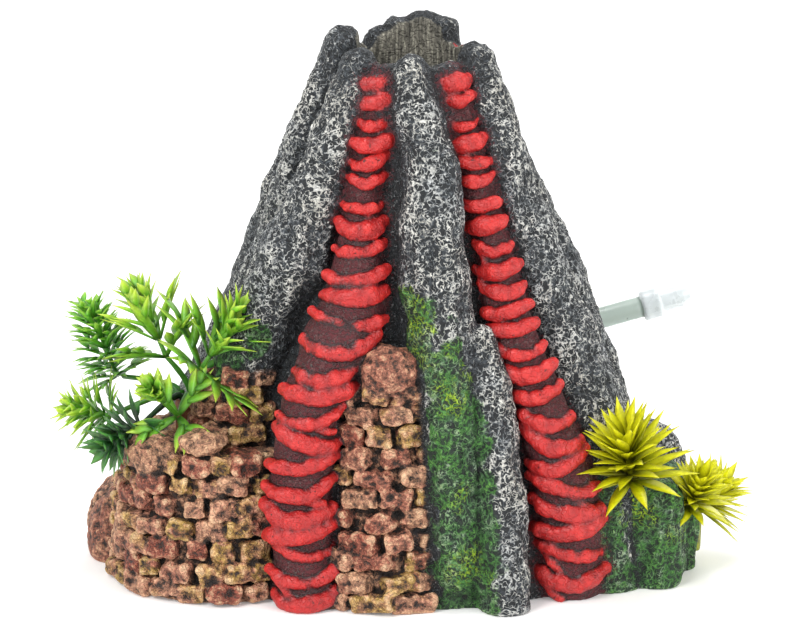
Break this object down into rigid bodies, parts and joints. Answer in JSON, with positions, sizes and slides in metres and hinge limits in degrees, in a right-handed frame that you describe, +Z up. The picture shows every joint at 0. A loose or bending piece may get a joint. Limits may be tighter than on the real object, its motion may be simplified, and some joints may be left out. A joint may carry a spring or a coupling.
{
  "type": "aquarium bubbling volcano ornament",
  "caption": "Aquarium volcano ornament with red lava streams, stone terraces, green and yellow plastic plants and a short airline with a coupling.",
  "frame": {"origin": "middle of the foot, on the surface it stands on", "axes": "+X to the right seen from the front, +Y to the back, +Z up"},
  "size_m": [0.1843, 0.1047, 0.147],
  "materials": {
    "painted_rock": "matte",
    "air_stone": "matte",
    "clear_pipe": "gloss",
    "seal": "matte",
    "silicone": "satin",
    "connector": "satin",
    "red_brown_plug": "matte",
    "olive_plug": "matte",
    "green_leaf": "satin",
    "yellow_leaf": "satin"
  },
  "bodies": {
    "ornament": {"rock_casting": "painted_rock", "air_stone": "air_stone", "air_pipe": "clear_pipe", "inlet_grommet": "seal", "air_tube": "silicone", "green_plant_plug": "red_brown_plug", "yellow_plant_top_plug": "olive_plug", "yellow_plant_side_plug": "olive_plug"},
    "coupling": {"hose_connector": "connector"},
    "green_upright": {"green_sprig_tall": "green_leaf", "green_sprig_middle": "green_leaf"},
    "green_outer": {"green_sprig_frond": "green_leaf", "green_sprig_low": "green_leaf"},
    "green_front": {"green_sprig_front": "green_leaf", "green_sprig_dark": "green_leaf"},
    "yellow_top": {"yellow_rosette_top": "yellow_leaf"},
    "yellow_side": {"yellow_rosette_side": "yellow_leaf", "yellow_rosette_low": "yellow_leaf"}
  },
  "joints": [
    {"name": "coupling_pull", "type": "slide", "parent": "ornament", "child": "coupling", "axis": [0.9623, 0.0842, 0.2588], "range_m": [0, 0.011]},
    {"name": "green_upright_sway", "type": "hinge", "parent": "ornament", "child": "green_upright", "pos_m": [-0.054, -0.009, 0.0474], "axis": [1, 0, 0], "range_deg": [-4, 6], "stiffness_Nm_per_rad": 0.02},
    {"name": "green_outer_sway", "type": "hinge", "parent": "ornament", "child": "green_outer", "pos_m": [-0.054, -0.009, 0.0474], "axis": [1, 0, 0], "range_deg": [-4, 4], "stiffness_Nm_per_rad": 0.02},
    {"name": "green_front_sway", "type": "hinge", "parent": "ornament", "child": "green_front", "pos_m": [-0.054, -0.009, 0.0474], "axis": [1, 0, 0], "range_deg": [-4, 3], "stiffness_Nm_per_rad": 0.02},
    {"name": "yellow_top_sway", "type": "hinge", "parent": "ornament", "child": "yellow_top", "pos_m": [0.0675, -0.0147, 0.0304], "axis": [1, 0, 0], "range_deg": [-3, 6], "stiffness_Nm_per_rad": 0.02},
    {"name": "yellow_side_sway", "type": "hinge", "parent": "ornament", "child": "yellow_side", "pos_m": [0.0795, -0.003, 0.0119], "axis": [0, 1, 0], "range_deg": [-1, 6], "stiffness_Nm_per_rad": 0.02}
  ]
}
